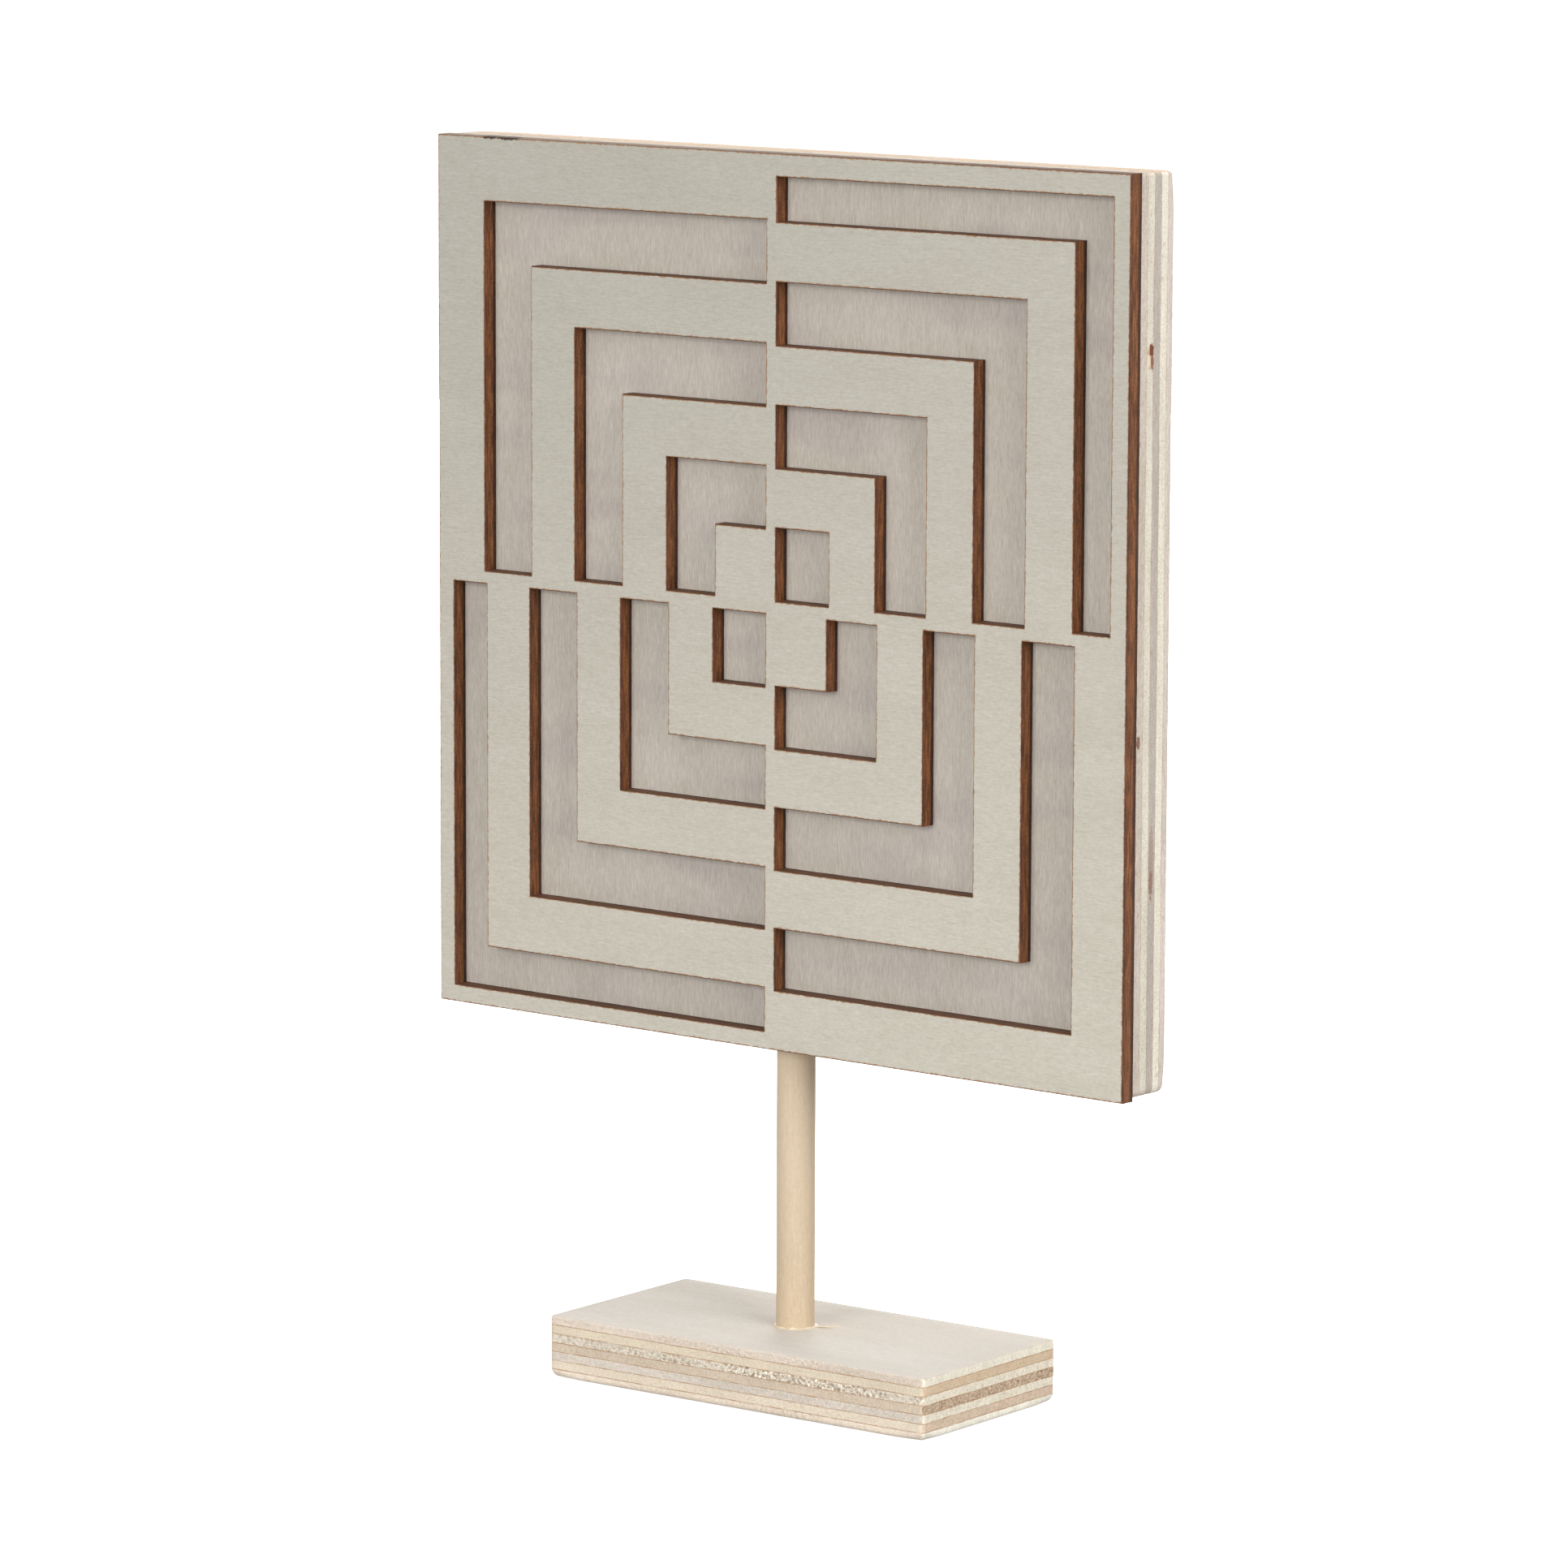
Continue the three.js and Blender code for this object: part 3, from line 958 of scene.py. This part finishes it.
def make_base():
    """The veneers are made square and then turned, with the hole where the dowel stands."""
    depths = stack_depths(BASE_NODES, Z, False)
    low, high = box_mm(BASE_NODES[2])
    middle = Vector(((low.x + high.x) / 2, (low.y + high.y) / 2, 0.0))
    half_length, half_depth = square_halves((high - low) / 2)
    turn = Matrix.Translation(middle * MM) @ Matrix.Rotation(BASE_TURN, 4, "Z")
    hole_middle = np.array((turn.inverted() @ Vector((0.0, 0.0, 0.0))).xy) / MM

    def place(u, v, depth):
        return (u, v, BASE_TOP - depth)

    board = Board(
        place, half_length, half_depth, 4 * (BASE_CORNER,), depths, BASE_EASES, BASE_WEAR,
        spacing=0.28, wave=0.06, wave_size=9.0, levels=8,
    )
    for index, node in enumerate(BASE_NODES):
        drilled = index < DRILLED
        rings, marks = board.veneer(index, (hole_middle, HOLE_RADIUS) if drilled else None, base_tear)
        points, faces = loft(rings, drilled)
        side, end = BASE_EDGES[index][:2]
        grain = X if index % 2 == 0 else Y
        face = (Z, BASE_FACE, BASE_FIBRE)
        material = edge_material(node, 120 + 10 * index, grain, face, side, end, 0.50, 0.95, boundary)
        piece = make_piece(node + "_wood", points, faces, [material], marks)
        piece.matrix_world = turn
        stand_for(piece, node)


# --- Dowel -----------------------------------------------------------------------------------------------

DOWEL_SIDES = 96
DOWEL_STEP = 0.8
DOWEL_CHAMFER = 0.5
DOWEL_COLOUR = colour(216, 196, 169)
FLUTE_DEPTH = 0.03
FLUTE_LENGTH = 14.0

# Painted shade: the dowel gets darker over this height above the base, against light thrown up by the base's
# top.
FOOT_SHADE_REACH = 32.0
FOOT_PAINTED_SHADE = -0.16


def dowel_material():
    shader = Shader("dowel", 0.7)
    tone = fine_grain(shader, Z, 220, fibre=0.22, fleck=0.20, streak=0.10, patch=0.10)
    # Painted shade, darker towards the dowel's foot.
    foot_shade = shader.product(shader.step(shader.along(Z), BASE_TOP + FOOT_SHADE_REACH, BASE_TOP), FOOT_PAINTED_SHADE)
    base = shader.toned(DOWEL_COLOUR, shader.total(tone, foot_shade))
    shader.bump(shader.noise(sized(Z, 3.0, 0.2), 223, 2.0), 0.03)
    return shader.finish(base)


def make_dowel():
    low, high = box_mm("dowel")
    radius = high[X]
    steps = round((high[Z] - low[Z]) / DOWEL_STEP)
    heights = np.linspace(low[Z] + DOWEL_CHAMFER, high[Z] - DOWEL_CHAMFER, steps)
    profile = [(low[Z], radius - DOWEL_CHAMFER)] + [(z, radius) for z in heights]
    profile.append((high[Z], radius - DOWEL_CHAMFER))
    rings = []
    for z, reach in profile:
        ring = []
        for k in range(DOWEL_SIDES):
            angle = 2 * math.pi * k / DOWEL_SIDES
            way = (math.cos(angle), math.sin(angle))
            flute = FLUTE_DEPTH * drift((3 * way[0], 3 * way[1], z / FLUTE_LENGTH), 0.8, 80)
            ring.append(((reach + flute) * way[0], (reach + flute) * way[1], z))
        rings.append(ring)
    points, faces = loft(rings, False)
    piece = make_piece("dowel_wood", points, faces, [dowel_material()])
    stand_for(piece, "dowel")


# --- Dried glue ------------------------------------------------------------------------------------------

GLUE = colour(226, 211, 184)
BEAD_SIDES = 90
BEAD_INNER = 3.22
BEAD_SINK = 0.25
BEAD_SKIN = 0.01
BEAD_GAP = 0.02
BEAD_REACH = 0.22
BEAD_RISE = 0.20
BEAD_SWELL = 0.7


def glue_material():
    shader = Shader("glue", 0.5)
    tone = shader.swing(even(0.8), 240, 0.4, 3.0)
    shader.bump(shader.noise(even(0.4), 241, 2.0), 0.04)
    return shader.finish(shader.toned(GLUE, tone))


def bead_profile(swell):
    """How far out and how high each point of the bead's section is. Its root is sunk in the gap, and it lies
    on the wood round the hole as a low dome that ends at the dowel."""
    reach = HOLE_RADIUS + BEAD_REACH * swell
    rise = BEAD_RISE * swell
    return [
        (BEAD_INNER, -BEAD_SINK),
        (HOLE_RADIUS - BEAD_GAP, -BEAD_SINK),
        (HOLE_RADIUS - BEAD_GAP, BEAD_SKIN),
        (reach, BEAD_SKIN),
        (reach * 0.6 + BEAD_INNER * 0.4, rise * 0.65),
        (reach * 0.25 + BEAD_INNER * 0.75, rise * 0.95),
        (BEAD_INNER, rise * 1.1),
    ]


def make_glue_bead(name, level, up, material, seed):
    """Dried glue that fills the gap round the dowel and stands a little proud of the wood at this level."""
    rings = []
    for k in range(BEAD_SIDES):
        angle = 2 * math.pi * k / BEAD_SIDES
        way = Vector((math.cos(angle), math.sin(angle), 0.0))
        profile = bead_profile(1.0 + BEAD_SWELL * drift(way * 3.0, 1.0, seed))
        rings.append([way * out + Vector((0.0, 0.0, level + up * height)) for out, height in profile])
    points, faces = loft(rings, True)
    piece = make_piece(name, points, faces, [material])
    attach(piece, "root")


def make_glue():
    material = glue_material()
    make_glue_bead("glue_at_base", BASE_TOP, 1.0, material, 90)
    make_glue_bead("glue_at_panel", BACKING_LOW[Z], -1.0, material, 95)


# --- Splinter --------------------------------------------------------------------------------------------

SPLINTER_START = Vector((3.5, 1.2, BASE_TOP + 0.02))
SPLINTER_END = Vector((7.6, 2.2, BASE_TOP + 0.30))
SPLINTER_ARCH = 0.12
SPLINTER_SIDES = 8
SPLINTER_COLOUR = colour(228, 214, 190)

# Along the splinter: the share of its length, its half-width and its half-thickness.
SPLINTER_PROFILE = (
    (0.0, 0.10, 0.05),
    (0.2, 0.30, 0.12),
    (0.6, 0.24, 0.10),
    (0.9, 0.10, 0.06),
    (1.0, 0.03, 0.02),
)


def splinter_material():
    shader = Shader("splinter", 0.75)
    return shader.finish(shader.toned(SPLINTER_COLOUR, fine_grain(shader, X, 250)))


def make_splinter():
    """A sliver of wood torn up beside the dowel when the base was drilled."""
    length = SPLINTER_END - SPLINTER_START
    up = Vector((0.0, 0.0, 1.0))
    side = length.normalized().cross(up)
    angles = [2 * math.pi * k / SPLINTER_SIDES for k in range(SPLINTER_SIDES)]
    rings = []
    for share, half, thick in SPLINTER_PROFILE:
        middle = SPLINTER_START + length * share + up * SPLINTER_ARCH * math.sin(math.pi * share)
        rings.append([middle + side * half * math.cos(a) + up * thick * math.sin(a) for a in angles])
    points, faces = loft(rings, False)
    piece = make_piece("splinter", points, faces, [splinter_material()])
    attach(piece, "root")


# --- Floor -----------------------------------------------------------------------------------------------

FLOOR_SIZE = 30000.0
FLOOR_GLOW = 0.85
FLOOR_COLOUR = colour(235, 235, 235)


def floor_material():
    """Pale, with a glow that makes it pure white in the picture."""
    shader = Shader("floor", 0.9)
    shader.surface.inputs["Specular IOR Level"].default_value = 0.0
    shader.surface.inputs["Emission Color"].default_value = WHITE
    shader.surface.inputs["Emission Strength"].default_value = FLOOR_GLOW
    return shader.finish(shader.toned(FLOOR_COLOUR, shader.swing(even(300.0), 9, 0.02)))


def make_floor():
    """The object stands on it, and its glow doesn't light the object."""
    mesh = bpy.data.meshes.new("floor")
    half = FLOOR_SIZE * MM / 2
    corners = [(-half, -half, 0), (half, -half, 0), (half, half, 0), (-half, half, 0)]
    mesh.from_pydata(corners, [], [(0, 1, 2, 3)])
    mesh.materials.append(floor_material())
    floor = bpy.data.objects.new("floor", mesh)
    floor.visible_diffuse = False
    bpy.context.scene.collection.objects.link(floor)


# --- The scene -------------------------------------------------------------------------------------------

make_camera()
make_lights()
make_floor()
make_fretwork()
make_backing()
make_base()
make_dowel()
make_glue()
make_splinter()
